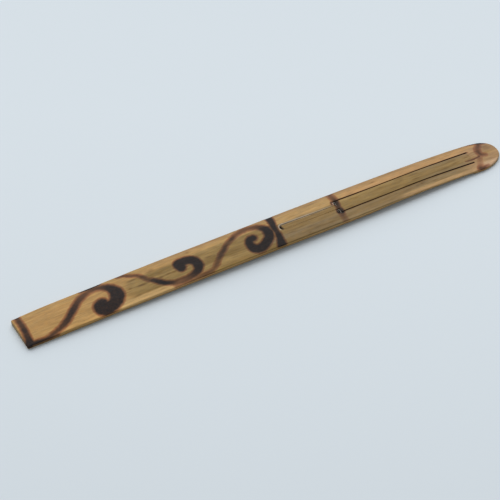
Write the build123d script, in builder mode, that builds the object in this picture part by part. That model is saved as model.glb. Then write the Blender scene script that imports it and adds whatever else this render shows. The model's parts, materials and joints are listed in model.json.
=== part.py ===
from build123d import *
import math
import os

os.makedirs("parts", exist_ok=True)

# A bamboo jaw harp, carved from one strip of bamboo, in millimetres.
# X runs along the strip, from the square handle end (-X) to the rounded plucked end (+X).
# Y runs across it, +Y towards the far edge. Z is up, and the bamboo's skin side is on top.
# The origin is at the middle of the length and the width, on the surface the strip lies on.
# The members below are all one strip on the real thing. They are kept as separate solids
# because they bend against each other, with a hairline gap at the two flexing places.

# ---- The strip ----
length = 240.0
handle_x = -length / 2
tip_x = length / 2
blank_height = 6.0              # taller than the strip anywhere, trimmed by the skin surface
blank_reach = 14.0              # further out than either edge of the strip
end_skew = 1.0                  # how much further in the handle end's near corner is cut
corner_radius = 0.9             # the handle end's two upright corners
edge_radius = 0.3               # softened edge between the skin side and the two sides

# Edge points (x, y), from the handle end to the start of the rounded end. The handle end is cut a
# little askew, so its near corner is further in than its far one.
far_edge = [
    (handle_x, 7.75),
    (-108.0, 8.30),
    (-85.0, 8.50),
    (-50.0, 8.80),
    (-20.0, 8.75),
    (30.0, 8.82),
    (60.0, 8.75),
    (90.0, 8.55),
    (104.0, 8.20),
]
near_edge = [
    (104.0, -8.65),
    (90.0, -8.60),
    (70.0, -8.80),
    (45.0, -8.95),
    (0.0, -8.90),
    (-40.0, -8.85),
    (-85.0, -8.80),
    (handle_x + end_skew, -8.85),
]
# The rounded end, from the far edge round to the near edge.
tip_round = [
    (110.5, 7.80),
    (115.0, 6.75),
    (118.2, 4.40),
    (tip_x, -1.00),
    (119.2, -3.70),
    (117.2, -5.75),
    (113.6, -7.65),
    (109.5, -8.55),
]

# ---- Skin side: a long bow that falls away faster towards the tip, crowned across the strip ----
# Points (x, z) of its centre line, which runs past both ends of the strip.
bow_overrun = 3.0
skin_line = [
    (handle_x - bow_overrun, 2.85),
    (-80.0, 3.45),
    (-40.0, 3.80),
    (0.0, 3.90),
    (40.0, 3.74),
    (70.0, 3.38),
    (90.0, 2.85),
    (106.0, 2.20),
    (tip_x + bow_overrun, 1.48),
]
crown_radius = 65.0

# ---- Underside: flat at both ends, lifted between, scooped under the rails ----
handle_pad = 12.0               # flat length under the handle end
arch_height = 1.10              # how high the bow lifts the underside
scoop_start = 48.0              # knife scoop under the rails and the tongue
scoop_full = 64.0
scoop_middle = 80.0
scoop_end = 100.5               # the rails end and the plucking end begins
scoop_height = (1.75, 1.55, 1.0)    # underside of the thinned rails at those three places
gouge_point = (102.7, 0.65)     # on the hollow cut that ends the scoop
block_x = 103.6                 # where the plucking end reaches its full thickness
tip_pad_end = 116.5             # end of the flat under the plucking end
tip_lift = 0.5                  # height of the rounded end's lower edge

# ---- Needle slot and step ----
slot_x = 8.7                    # centre of the slot's rounded blind end; the cheeks begin here
step_x = 35.5                   # end of the cheeks, on the centre line
step_skew = 0.05                # the step runs askew: x grows by this for each mm of y
shoulder_x = 36.8               # free end of the tongue's shoulder, on the centre line
shoulder_skew = 0.05
slot_far = (1.85, 1.15)         # y of the slot's far wall at its blind end and at the step
slot_near = (-1.25, -1.35)
needle_tip_x = 8.4
needle_far = (1.60, 0.98)       # y of the needle's far side at its tip and at the shoulder
needle_near = (-1.10, -1.20)
needle_blunt = 0.9              # the tip is cut askew by this much
needle_under = 2.0              # underside of the needle
needle_top = 3.6                # the needle is scraped lower than the cheeks beside it

# ---- Tongue and slits ----
slit = 0.42                     # saw cut each side of the tongue
tongue_root_x = 105.9           # the tongue bends here
slit_far = [(step_x, 3.62), (59.4, 3.38), (81.5, 3.62), (tongue_root_x, 3.40)]
slit_near = [(step_x, -3.60), (61.4, -3.36), (77.5, -3.08), (tongue_root_x, -3.52)]
shoulder_length = 13.0
shoulder_under = 1.25           # underside of the heavy shoulder
blade_x = shoulder_x + shoulder_length
blade_thin_x = 58.0             # where the blade reaches its thinned section
blade_under = 2.2
blade_middle = (80.0, 2.0)      # a point (x, z) of the blade's underside
root_under = 1.1
frame_flex_x = 36.5             # the rails bend against the cheeks here
flex_gap = 0.12                 # hairline left open at each flexing place


def shifted(points, dy):
    """The same points moved across the strip."""
    return [(x, y + dy) for x, y in points]


def skewed(x, skew, y):
    """A point of a line across the strip that runs askew."""
    return (x + skew * y, y)


# The whole strip before it is cut, shared by every member.
with BuildPart() as strip:
    with BuildSketch(Plane.XY):
        with BuildLine():
            outline = far_edge + tip_round + near_edge
            edge_line = Spline(outline)
            end_line = Line(edge_line @ 1, edge_line @ 0)
        make_face()
    extrude(amount=blank_height)
    fillet(strip.edges().filter_by(Axis.Z).sort_by(Axis.X)[:2], corner_radius)

    with BuildSketch(Plane.XZ.offset(-blank_reach)):
        with BuildLine():
            pad = Line((handle_x, 0), (handle_x + handle_pad, 0))
            arch_points = [
                pad @ 1,
                (-80.0, 0.65),
                (-40.0, arch_height),
                (10.0, arch_height),
                (scoop_start, arch_height),
            ]
            arch = Spline(arch_points, tangents=[(1, 0), (1, 0)])
            ramp = Spline([arch @ 1, (scoop_full, scoop_height[0])], tangents=[(1, 0), (1, 0)])
            scoop = Polyline(ramp @ 1, (scoop_middle, scoop_height[1]), (scoop_end, scoop_height[2]))
            gouge = ThreePointArc(scoop @ 1, gouge_point, (block_x, 0))
            tip_pad = Line(gouge @ 1, (tip_pad_end, 0))
            tip_rise = Spline([tip_pad @ 1, (tip_x, tip_lift)], tangents=[(1, 0), (1, 0.3)])
            Polyline(tip_rise @ 1, (tip_x, blank_height), (handle_x, blank_height), (handle_x, 0))
        make_face()
    extrude(amount=2 * blank_reach, mode=Mode.INTERSECT)

    # The skin surface: a crowned section swept along the bow's centre line.
    with BuildLine(Plane.XZ) as bow:
        Spline(skin_line)
    crown_drop = crown_radius - math.sqrt(crown_radius**2 - blank_reach**2)
    with BuildSketch(Plane(origin=bow.line @ 0, x_dir=(0, 1, 0), z_dir=bow.line % 0)):
        with BuildLine():
            crown = ThreePointArc((-blank_reach, -crown_drop), (0, 0), (blank_reach, -crown_drop))
            Polyline(crown @ 1, (blank_reach, -2 * blank_height), (-blank_reach, -2 * blank_height), crown @ 0)
        make_face()
    sweep(path=bow.line, mode=Mode.INTERSECT)
    skin = strip.faces().sort_by(Axis.Z)[-1]
    long_edges = skin.edges().filter_by(lambda edge: edge.length > length / 2)
    fillet(long_edges, edge_radius)

# ---- Handle: everything from the square end to the blind end of the slot ----
with BuildPart() as handle:
    add(strip.part)
    split(bisect_by=Plane.YZ.offset(slot_x), keep=Keep.BOTTOM)
    with Locations((slot_x, (slot_far[0] + slot_near[0]) / 2)):
        Cylinder((slot_far[0] - slot_near[0]) / 2, 4 * blank_height, mode=Mode.SUBTRACT)
handle.part.label = "handle"
export_step(handle.part, "parts/handle.step")

# ---- Cheeks: the two strips beside the needle, ending at the step ----
# Past the step each one runs on as the narrow start of its rail, as far as the flexing place.
cheek_end_x = frame_flex_x - flex_gap / 2
far_wall_y = slit_far[0][1] + slit / 2
near_wall_y = slit_near[0][1] - slit / 2

with BuildPart() as far_cheek:
    add(strip.part)
    with BuildSketch(Plane.XY):
        with BuildLine():
            Polyline(
                (slot_x, slot_far[0]),
                skewed(step_x, step_skew, slot_far[1]),
                skewed(step_x, step_skew, far_wall_y),
                (cheek_end_x, far_wall_y),
                (cheek_end_x, blank_reach),
                (slot_x, blank_reach),
                close=True,
            )
        make_face()
    extrude(amount=blank_height, mode=Mode.INTERSECT)
far_cheek.part.label = "far_cheek"
export_step(far_cheek.part, "parts/far_cheek.step")

with BuildPart() as near_cheek:
    add(strip.part)
    with BuildSketch(Plane.XY):
        with BuildLine():
            Polyline(
                (slot_x, slot_near[0]),
                skewed(step_x, step_skew, slot_near[1]),
                skewed(step_x, step_skew, near_wall_y),
                (cheek_end_x, near_wall_y),
                (cheek_end_x, -blank_reach),
                (slot_x, -blank_reach),
                close=True,
            )
        make_face()
    extrude(amount=blank_height, mode=Mode.INTERSECT)
near_cheek.part.label = "near_cheek"
export_step(near_cheek.part, "parts/near_cheek.step")

# ---- Rails: the two thin springy strips beside the tongue ----
rail_start_x = frame_flex_x + flex_gap / 2

with BuildPart() as far_rail:
    add(strip.part)
    with BuildSketch(Plane.XY):
        with BuildLine():
            wall = Spline(shifted(slit_far, slit / 2))
            Polyline(wall @ 1, (tongue_root_x, blank_reach), (step_x, blank_reach), wall @ 0)
        make_face()
    extrude(amount=blank_height, mode=Mode.INTERSECT)
    split(bisect_by=Plane.YZ.offset(rail_start_x), keep=Keep.TOP)
    split(bisect_by=Plane.YZ.offset(scoop_end), keep=Keep.BOTTOM)
far_rail.part.label = "far_rail"
export_step(far_rail.part, "parts/far_rail.step")

with BuildPart() as near_rail:
    add(strip.part)
    with BuildSketch(Plane.XY):
        with BuildLine():
            wall = Spline(shifted(slit_near, -slit / 2))
            Polyline(wall @ 1, (tongue_root_x, -blank_reach), (step_x, -blank_reach), wall @ 0)
        make_face()
    extrude(amount=blank_height, mode=Mode.INTERSECT)
    split(bisect_by=Plane.YZ.offset(rail_start_x), keep=Keep.TOP)
    split(bisect_by=Plane.YZ.offset(scoop_end), keep=Keep.BOTTOM)
near_rail.part.label = "near_rail"
export_step(near_rail.part, "parts/near_rail.step")

# ---- Plucking end: the full-thickness rounded end, notched for the tongue's root ----
with BuildPart() as plucking_end:
    add(strip.part)
    split(bisect_by=Plane.YZ.offset(scoop_end), keep=Keep.TOP)
    with BuildSketch(Plane.XY):
        with BuildLine():
            far_wall = Spline(shifted(slit_far, slit / 2))
            root_wall = Line(far_wall @ 1, (tongue_root_x + flex_gap / 2, (far_wall @ 1).Y))
            near_wall = Spline(shifted(slit_near, -slit / 2))
            Polyline(
                root_wall @ 1,
                (tongue_root_x + flex_gap / 2, (near_wall @ 1).Y),
                near_wall @ 1,
            )
            Line(near_wall @ 0, far_wall @ 0)
        make_face()
    extrude(amount=blank_height, mode=Mode.SUBTRACT)
plucking_end.part.label = "plucking_end"
export_step(plucking_end.part, "parts/plucking_end.step")

# ---- Tongue: shared plan between the two slits, then cut into shoulder and blade ----
root_end_x = tongue_root_x - flex_gap / 2

with BuildPart() as tongue:
    add(strip.part)
    with BuildSketch(Plane.XY):
        with BuildLine():
            far_side = Spline(shifted(slit_far, -slit / 2))
            near_side = Spline(shifted(slit_near, slit / 2))
            Line(far_side @ 1, near_side @ 1)
            Line(far_side @ 0, near_side @ 0)
        make_face()
    extrude(amount=blank_height, mode=Mode.INTERSECT)
    with BuildSketch(Plane.XZ.offset(-blank_reach)):
        with BuildLine():
            shoulder_line = Line((step_x, shoulder_under), (blade_x, shoulder_under))
            thinning = Spline([shoulder_line @ 1, (blade_thin_x, blade_under)], tangents=[(1, 0), (1, 0)])
            blade_line = Polyline(thinning @ 1, blade_middle, (root_end_x, root_under))
            Polyline(
                blade_line @ 1,
                (root_end_x, blank_height),
                (step_x, blank_height),
                shoulder_line @ 0,
            )
        make_face()
    extrude(amount=2 * blank_reach, mode=Mode.INTERSECT)

with BuildPart() as tongue_shoulder:
    add(tongue.part)
    with BuildSketch(Plane.XY):
        with BuildLine():
            Polyline(
                skewed(shoulder_x, shoulder_skew, -blank_reach),
                skewed(shoulder_x, shoulder_skew, blank_reach),
                (blade_x, blank_reach),
                (blade_x, -blank_reach),
                close=True,
            )
        make_face()
    extrude(amount=blank_height, mode=Mode.INTERSECT)
tongue_shoulder.part.label = "tongue_shoulder"
export_step(tongue_shoulder.part, "parts/tongue_shoulder.step")

with BuildPart() as tongue_blade:
    add(tongue.part)
    split(bisect_by=Plane.YZ.offset(blade_x), keep=Keep.TOP)
tongue_blade.part.label = "tongue_blade"
export_step(tongue_blade.part, "parts/tongue_blade.step")

with BuildPart() as tongue_needle:
    add(strip.part)
    with BuildSketch(Plane.XY):
        with BuildLine():
            Polyline(
                (needle_tip_x, needle_far[0]),
                skewed(shoulder_x, shoulder_skew, needle_far[1]),
                skewed(shoulder_x, shoulder_skew, needle_near[1]),
                (needle_tip_x + needle_blunt, needle_near[0]),
                close=True,
            )
        make_face()
    extrude(amount=blank_height, mode=Mode.INTERSECT)
    split(bisect_by=Plane.XY.offset(needle_under), keep=Keep.TOP)
    split(bisect_by=Plane.XY.offset(needle_top), keep=Keep.BOTTOM)
tongue_needle.part.label = "tongue_needle"
export_step(tongue_needle.part, "parts/tongue_needle.step")
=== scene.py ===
"""The looks of a bamboo jaw harp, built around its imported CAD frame.

Every member of the strip is one mesh, made from the same plan outline, the same two surfaces and the
same burn marks, so that neighbours meet without a visible line. Lengths are in millimetres until a
mesh is written in metres.
"""
import json
import math

import bpy
import numpy as np
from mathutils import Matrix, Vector


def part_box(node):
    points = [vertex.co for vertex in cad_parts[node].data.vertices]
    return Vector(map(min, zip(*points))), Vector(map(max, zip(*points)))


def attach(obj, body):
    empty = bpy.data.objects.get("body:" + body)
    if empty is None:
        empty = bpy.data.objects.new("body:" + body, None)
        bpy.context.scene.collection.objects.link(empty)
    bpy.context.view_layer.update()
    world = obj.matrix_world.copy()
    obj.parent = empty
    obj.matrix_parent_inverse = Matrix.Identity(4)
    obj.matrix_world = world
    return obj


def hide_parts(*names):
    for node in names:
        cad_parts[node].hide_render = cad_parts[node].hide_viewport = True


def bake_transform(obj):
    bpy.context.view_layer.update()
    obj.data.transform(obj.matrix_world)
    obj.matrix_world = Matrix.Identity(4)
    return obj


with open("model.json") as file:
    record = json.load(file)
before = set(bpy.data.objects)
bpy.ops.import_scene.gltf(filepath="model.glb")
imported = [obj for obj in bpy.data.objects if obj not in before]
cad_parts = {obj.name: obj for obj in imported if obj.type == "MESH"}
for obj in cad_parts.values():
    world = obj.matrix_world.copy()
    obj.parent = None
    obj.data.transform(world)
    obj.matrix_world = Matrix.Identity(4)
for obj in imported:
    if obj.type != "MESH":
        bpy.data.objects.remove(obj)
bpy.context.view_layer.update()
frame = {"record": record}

MM = 0.001
JOINTS = {joint["name"]: joint for joint in frame["record"]["behaviour"]["joints"]}


def station(node, end):
    """x of a CAD node's end, in mm: 0 is its handle side, 1 its tip side."""
    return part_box(node)[end].x / MM


# ---- Stations along the strip, from the frame ----
HANDLE_X = station("handle", 0)
SLOT_X = station("handle", 1)
BLADE_X = station("tongue_blade", 0)
RAIL_END_X = station("far_rail", 1)
TIP_X = station("plucking_end", 1)
ROOT_X = JOINTS["tongue_flex"]["pos_m"][0] / MM

# ---- Plan: the CAD's, with a few edges moved by up to 0.4 mm ----
END_SKEW = 0.6  # how much further in the handle end's near corner is cut
FAR_EDGE = [(HANDLE_X, 7.75), (-108, 8.3), (-85, 8.5), (-50, 8.8), (-20, 8.75), (30, 8.82), (60, 8.75)]
FAR_EDGE += [(90, 8.55), (104, 8.2)]
TIP_ROUND = [(110.5, 7.8), (115.0, 6.75), (118.2, 4.4), (TIP_X, -1.0), (119.2, -3.7), (117.2, -5.75)]
TIP_ROUND += [(113.6, -7.65), (109.5, -8.55)]
NEAR_EDGE = [(104, -8.48), (90, -8.4), (70, -8.65), (45, -8.92), (0, -8.87), (-40, -8.85), (-85, -8.8)]
NEAR_EDGE += [(HANDLE_X + END_SKEW, -8.85)]
CORNER_RADIUS = 0.65
STEP_X, STEP_SKEW = 35.5, 0.05  # where slot and slits meet, and how far it slants for each mm across
SHOULDER_X, SHOULDER_SKEW = 36.8, 0.05
SLOT_FAR = (1.85, 1.15)  # y of the slot's far wall at its blind end and at the step
SLOT_NEAR = (-1.25, -1.35)
NEEDLE_TIP_X, NEEDLE_BLUNT = 8.4, 0.6
NEEDLE_FAR = (1.76, 1.08)  # y of the needle's far side at its tip and at the shoulder
NEEDLE_NEAR = (-1.1, -1.2)
SLIT = 0.42  # width of the slits
SLIT_FAR = [(STEP_X, 3.62), (59.4, 3.38), (81.5, 3.62), (ROOT_X, 3.4)]
SLIT_NEAR = [(STEP_X, -3.6), (61.4, -3.36), (77.5, -3.08), (ROOT_X, -3.52)]

# ---- Surfaces: the CAD's, with worn edges. Rows are (x, z) ----
SKIN_LINE = [(-123, 2.85), (-80, 3.45), (-40, 3.8), (0, 3.9), (40, 3.74), (70, 3.38), (90, 2.85)]
SKIN_LINE += [(106, 2.2), (123, 1.48)]
CROWN_FAR = 0.6  # how much lower the skin is at its far edge
CROWN_NEAR = (0.85, 0.5)  # the same at the near edge, on the handle and past its middle
CROWN_NEAR_X = (-60, -15)
FLAT_HALF = 2.0  # half width of the flatter middle of the skin
CROWN_REACH, CROWN_POWER = 6.9, 1.4
UNDERSIDE = [(HANDLE_X, 0), (-108, 0), (-80, 0.65), (-40, 1.1), (10, 1.1), (48, 1.0), (64, 1.75)]
UNDERSIDE += [(80, 1.55), (100.5, 1.0), (102.7, 0.65), (103.6, 0), (116.5, 0), (118.6, 0.18), (TIP_X, 0.5)]
TONGUE_UNDER = [(30, 1.25), (49.8, 1.25), (58, 2.2), (80, 2.0), (ROOT_X, 1.1)]
NEEDLE_UNDER = 2.0
TONGUE_SAG, SAG_POWER = 0.25, 2.5  # how much lower the tongue's skin is at the needle's tip
UNDERCUT = 0.08  # the long sides lean in this much towards the underside
UNDERCUT_Y, UNDERCUT_X = (4.5, 3.5), (98, 6)  # where that comes in across the strip and ends along it
THINNEST = 0.12  # the least thickness that is left anywhere
OUTER_ROUND = 0.35  # worn rounding of the strip's own edges
CUT_ROUND = 0.13  # crisp rounding at slits and slot
UNDER_ROUND = 0.3
FIBRE_RELIEF, SLOW_RELIEF = 0.014, 0.035  # height of the fibre ridges and of the slow unevenness
BURN_DEPTH = 0.10
FACET_LENGTH, FACET_DEPTH = 7.0, 0.05  # the knife's facets on the underside
LOWEST = 0.01  # the underside is kept this far above the floor
GRID = 0.3  # mesh spacing
OUTLINE_STEP, SLIT_STEP, STROKE_STEP = 0.25, 0.5, 0.22  # spacing along the plan's curves
CORNER_POINTS, SLOT_END_POINTS = 9, 19
EDGE_STEPS = (0.0, 0.03, 0.08, 0.15, 0.25, 0.38, 0.55)  # distances of the rows beside a rounded edge
WALL_ROWS = 6
SHARP_ANGLE = 38

# ---- Noise ----
LATTICE = np.random.RandomState(11).rand(256, 256) * 2 - 1


def smoothstep(t):
    t = np.clip(t, 0, 1)
    return t * t * (3 - 2 * t)


def rise(value, start, width):
    """0 up to the start, 1 once past the width."""
    return smoothstep((value - start) / width)


def fall(value, start, width):
    """1 up to the start, 0 once past the width."""
    return 1 - rise(value, start, width)


def hump(value, centre, half_width, power=2):
    """1 at the centre, falling off to both sides; a higher power has a flatter top."""
    return np.exp(-(np.abs((value - centre) / half_width) ** power))


def noise(u, v):
    """Smooth lattice noise from -1 to 1."""
    iu, iv = np.floor(u).astype(int), np.floor(v).astype(int)
    fu, fv = smoothstep(u - iu), smoothstep(v - iv)
    iu, iv = iu % 256, iv % 256
    ju, jv = (iu + 1) % 256, (iv + 1) % 256
    low = LATTICE[iu, iv] * (1 - fu) + LATTICE[ju, iv] * fu
    high = LATTICE[iu, jv] * (1 - fu) + LATTICE[ju, jv] * fu
    return low * (1 - fv) + high * fv


def layered(u, v, octaves):
    """Noise with finer and fainter noise added."""
    total = np.zeros(np.shape(u))
    for k in range(octaves):
        total = total + noise(u * 2**k + 37.7 * k, v * 2**k + 11.3 * k) * 0.5**k
    return total


# ---- Curves and plan ----
def smooth_at(knots, at, where):
    """Rows of a smooth curve through knots, at places along it between at[0] and at[-1]."""
    gap = np.diff(at)
    slope = np.diff(knots, axis=0) / gap[:, None]
    middle = (slope[:-1] * gap[1:, None] + slope[1:] * gap[:-1, None]) / (gap[1:] + gap[:-1])[:, None]
    tangent = np.vstack([slope[:1], middle, slope[-1:]])
    i = np.clip(np.searchsorted(at, where, side="right") - 1, 0, len(gap) - 1)
    h = gap[i][:, None]
    t = (where - at[i])[:, None] / h
    out = (2 * t**3 - 3 * t**2 + 1) * knots[i] + (t**3 - 2 * t**2 + t) * h * tangent[i]
    return out + (3 * t**2 - 2 * t**3) * knots[i + 1] + (t**3 - t**2) * h * tangent[i + 1]


def smooth_path(points, spacing):
    """A smooth path through rows of (x, y, ...), stepped at about the given spacing."""
    knots = np.array(points, float)
    at = np.concatenate([[0], np.cumsum(np.linalg.norm(np.diff(knots[:, :2], axis=0), axis=1))])
    where = np.linspace(0, at[-1], max(3, int(at[-1] / spacing) + 1))
    return smooth_at(knots, at, where)


def along(path, fractions):
    """Points of a path at fractions of its length."""
    path = np.asarray(path, float)
    at = np.concatenate([[0], np.cumsum(np.linalg.norm(np.diff(path, axis=0), axis=1))])
    where = np.asarray(fractions) * at[-1]
    return np.column_stack([np.interp(where, at, path[:, k]) for k in range(path.shape[1])])


def path_length(path):
    return float(np.linalg.norm(np.diff(np.asarray(path, float), axis=0), axis=1).sum())


def between(path, x0, x1):
    """The part of a path that runs along X, from x0 to x1, with exact ends."""
    path = path if path[0, 0] < path[-1, 0] else path[::-1]
    inside = path[(path[:, 0] > x0 + 1e-6) & (path[:, 0] < x1 - 1e-6)]
    y0, y1 = np.interp([x0, x1], path[:, 0], path[:, 1])
    return np.vstack([[x0, y0], inside, [x1, y1]])


OUTLINE = smooth_path(FAR_EDGE + TIP_ROUND + NEAR_EDGE, OUTLINE_STEP)
OUTLINE[:, 0] = np.minimum(OUTLINE[:, 0], TIP_X)
TIP_AT = int(np.argmax(OUTLINE[:, 0]))
FAR_LINE, NEAR_LINE = OUTLINE[: TIP_AT + 1], OUTLINE[TIP_AT:][::-1]
SLIT_FAR_LINE = smooth_path(SLIT_FAR, SLIT_STEP)
SLIT_NEAR_LINE = smooth_path(SLIT_NEAR, SLIT_STEP)


def moved(path, dy):
    return path + np.array([0, dy])


def corner(side, first, last):
    """An arc round a corner of the handle's square end; side is 1 for far, -1 for near."""
    line = FAR_LINE if side > 0 else NEAR_LINE
    centre_x = line[0, 0] + CORNER_RADIUS
    centre_y = np.interp(centre_x, line[:, 0], line[:, 1]) - side * CORNER_RADIUS
    angle = np.radians(np.linspace(first, last, CORNER_POINTS))
    arc = [centre_x - CORNER_RADIUS * np.cos(angle), centre_y + side * CORNER_RADIUS * np.sin(angle)]
    return np.column_stack(arc)


def across(x, skew, y):
    """A point on the line across the strip that slants by skew for each mm of y."""
    return (x + skew * y, y)


STEP_FAR_Y = SLIT_FAR[0][1] + SLIT / 2
STEP_NEAR_Y = SLIT_NEAR[0][1] - SLIT / 2
STEP_FAR = across(STEP_X, STEP_SKEW, STEP_FAR_Y)
STEP_NEAR = across(STEP_X, STEP_SKEW, STEP_NEAR_Y)
SEAM_FAR_X = STEP_X + STEP_SKEW * 8.75  # where the step's line meets the strip's two edges
SEAM_NEAR_X = STEP_X - STEP_SKEW * 8.78
SLOT_HALF = (SLOT_FAR[0] - SLOT_NEAR[0]) / 2
SLOT_MID = (SLOT_FAR[0] + SLOT_NEAR[0]) / 2


def slot_end():
    """The slot's rounded blind end where it bites into the handle, from its near to its far side."""
    angle = np.radians(np.linspace(-90, 90, SLOT_END_POINTS))
    return np.column_stack([SLOT_X - SLOT_HALF * np.cos(angle), SLOT_MID + SLOT_HALF * np.sin(angle)])


# Open edges, where a member has a free side: nothing else is rounded.
OUTER_OPEN = np.vstack([
    corner(1, 0, 90),
    between(FAR_LINE, FAR_LINE[0, 0] + CORNER_RADIUS, TIP_X - 0.01),
    between(NEAR_LINE, NEAR_LINE[0, 0] + CORNER_RADIUS, TIP_X - 0.01)[::-1],
    corner(-1, 90, 0),
    corner(1, 0, 0)[:1],
])
FAR_WALL = between(moved(SLIT_FAR_LINE, SLIT / 2), STEP_X, ROOT_X)
NEAR_WALL = between(moved(SLIT_NEAR_LINE, -SLIT / 2), STEP_X, ROOT_X)
FAR_SIDE = between(moved(SLIT_FAR_LINE, -SLIT / 2), STEP_X, ROOT_X)
NEAR_SIDE = between(moved(SLIT_NEAR_LINE, SLIT / 2), STEP_X, ROOT_X)


def crossing(path, x, skew):
    """Where a path meets the slanted line across the strip."""
    off = path[:, 0] - (x + skew * path[:, 1])
    i = int(np.argmax(off > 0))
    share = -off[i - 1] / (off[i] - off[i - 1])
    return path[i - 1] + (path[i] - path[i - 1]) * share


def from_point(path, point):
    return np.vstack([point, path[path[:, 0] > point[0] + 1e-6]])


SHOULDER_FAR = crossing(FAR_SIDE, SHOULDER_X, SHOULDER_SKEW)
SHOULDER_NEAR = crossing(NEAR_SIDE, SHOULDER_X, SHOULDER_SKEW)
BASE_FAR = across(SHOULDER_X, SHOULDER_SKEW, NEEDLE_FAR[1])
BASE_NEAR = across(SHOULDER_X, SHOULDER_SKEW, NEEDLE_NEAR[1])
NEEDLE_TIP_FAR = (NEEDLE_TIP_X, NEEDLE_FAR[0])
NEEDLE_TIP_NEAR = (NEEDLE_TIP_X + NEEDLE_BLUNT, NEEDLE_NEAR[0])
WINDOW_OPEN = np.vstack([
    [FAR_SIDE[-1]],
    from_point(FAR_WALL, STEP_FAR)[::-1],
    [across(STEP_X, STEP_SKEW, SLOT_FAR[1])],
    slot_end()[::-1],
    [across(STEP_X, STEP_SKEW, SLOT_NEAR[1])],
    from_point(NEAR_WALL, STEP_NEAR),
    [NEAR_SIDE[-1]],
])
TONGUE_OPEN = np.vstack([
    from_point(FAR_SIDE, SHOULDER_FAR)[::-1],
    [BASE_FAR, NEEDLE_TIP_FAR, NEEDLE_TIP_NEAR, BASE_NEAR],
    from_point(NEAR_SIDE, SHOULDER_NEAR),
])


def distance_to(path, points):
    """How far each point is from a path."""
    nearest = np.full(len(points), 1e9)
    for a, b in zip(path[:-1], path[1:]):
        step = b - a
        size = step @ step
        if size < 1e-12:
            continue
        share = np.clip(((points - a) @ step) / size, 0, 1)
        away = points - (a + share[:, None] * step)
        nearest = np.minimum(nearest, (away * away).sum(1))
    return np.sqrt(nearest)


# ---- Burn marks: rows of (x, y, radius, strength) along each stroke ----
SCROLL_1 = [
    (-113.6, -8.8, 0.35, 0.95), (-108.7, -8.2, 0.55, 0.9), (-105.1, -7.2, 0.85, 0.8),
    (-101.9, -5.95, 1, 0.85), (-99.1, -4.4, 1.2, 0.9), (-97.1, -2.85, 1.2, 0.95),
    (-95.4, -1.3, 1.3, 0.97), (-93.3, 0.5, 1.35, 0.92), (-91.2, 2.4, 1.25, 0.86),
    (-88.9, 4.1, 1.25, 0.8), (-86.3, 5.4, 1.1, 0.73), (-83.7, 6.35, 1, 0.64), (-80.7, 6.8, 1.1, 0.74),
    (-78.1, 6.1, 1.2, 0.8), (-75.3, 4.4, 1.75, 0.95), (-73.8, 2.2, 2.4, 1), (-73.2, -0.3, 2.95, 1),
    (-74.2, -2.7, 3, 1), (-76.6, -4.9, 2.75, 1), (-79.5, -5.5, 3.05, 1), (-82, -5, 3.6, 1),
    (-82.3, -3.6, 3.1, 1), (-81.1, -2.5, 2.4, 1),
]
SCROLL_2 = [
    (-69.2, 8.3, 0.25, 0.7), (-66.2, 7.6, 0.4, 0.85), (-63.7, 6.1, 0.6, 0.65), (-60.9, 4.6, 0.6, 0.68),
    (-59.3, 2.6, 0.68, 0.58), (-57.9, 0.2, 0.75, 0.52), (-55.8, -1.3, 0.95, 0.9), (-53.8, -3.2, 1.12, 1),
    (-51.3, -5, 0.95, 1), (-49.2, -6, 1, 0.85), (-46.9, -6.65, 1.1, 0.65), (-43.9, -6.85, 1.35, 0.65),
    (-40.7, -6.6, 1.25, 0.76), (-37.9, -5.8, 1.35, 0.9), (-35.8, -4.5, 1.7, 0.98), (-34.6, -2.5, 2.05, 1),
    (-34.7, -0.3, 2.15, 1), (-35.8, 1.4, 2.15, 1), (-37.6, 2.4, 2.15, 1), (-40.1, 2.6, 2.25, 1),
    (-42.1, 2.2, 2.25, 1), (-42.1, 0.5, 2.25, 1), (-42, -0.2, 2.1, 1),
]
EDGE_STROKE = [
    (-48.3, -8.1, 0.4, 0.45), (-41.3, -8.4, 0.45, 0.42), (-35.3, -8.3, 0.45, 0.45),
    (-30.8, -7.8, 0.5, 0.45),
]
SCROLL_3 = [
    (-35.3, -8.6, 0.3, 0.5), (-32, -7.9, 0.42, 0.5), (-29.1, -7, 0.5, 0.5), (-27, -5.4, 0.8, 0.57),
    (-24.8, -3.35, 0.75, 0.55), (-22.8, -1.2, 0.85, 0.7), (-20.8, 0.1, 0.9, 0.83),
    (-18.7, 2.1, 0.78, 0.62), (-16.2, 3.8, 0.8, 0.6), (-14.6, 4.7, 0.85, 0.85),
    (-12.1, 5.85, 0.78, 0.62), (-9.55, 6.55, 0.85, 0.6), (-6.7, 6.9, 0.95, 0.57),
    (-4.2, 6.5, 0.95, 0.6), (-1.6, 5.7, 1.08, 0.73), (0.4, 4.1, 1.5, 0.9), (1.4, 2.15, 1.85, 1),
    (1.5, 0.3, 2, 1), (0.8, -2, 2, 1), (-1.1, -3.8, 2.05, 1), (-3.4, -5.3, 2.15, 1),
    (-6.2, -6.05, 2.15, 1), (-8.3, -5, 2.2, 1), (-9, -2.6, 1.8, 1), (-8.45, -0.4, 1.65, 1),
    (-7.3, 0.8, 1.4, 1), (-6.15, 0.45, 1.7, 1),
]
END_BAND = [
    (-117.4, 8.6, 1.25, 1), (-117.2, 6.6, 0.92, 0.78), (-117.2, 5, 1, 0.84),
    (-117, 2.6, 1.05, 0.84), (-117.1, 0.7, 1.1, 0.9), (-117.2, -0.6, 1.15, 0.96),
    (-117.2, -2, 1.1, 0.88), (-117.4, -3.6, 1.15, 0.9), (-117.6, -5.9, 1.4, 0.96),
    (-117.8, -8.4, 2, 1),
]
CORNER_BURN = [
    (-118.7, -8.3, 1, 1), (-115.1, -8.5, 0.9, 1), (-112, -8.7, 0.75, 0.95), (-109, -8.8, 0.5, 0.9),
    (-105.2, -9, 0.35, 0.7),
]
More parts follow.
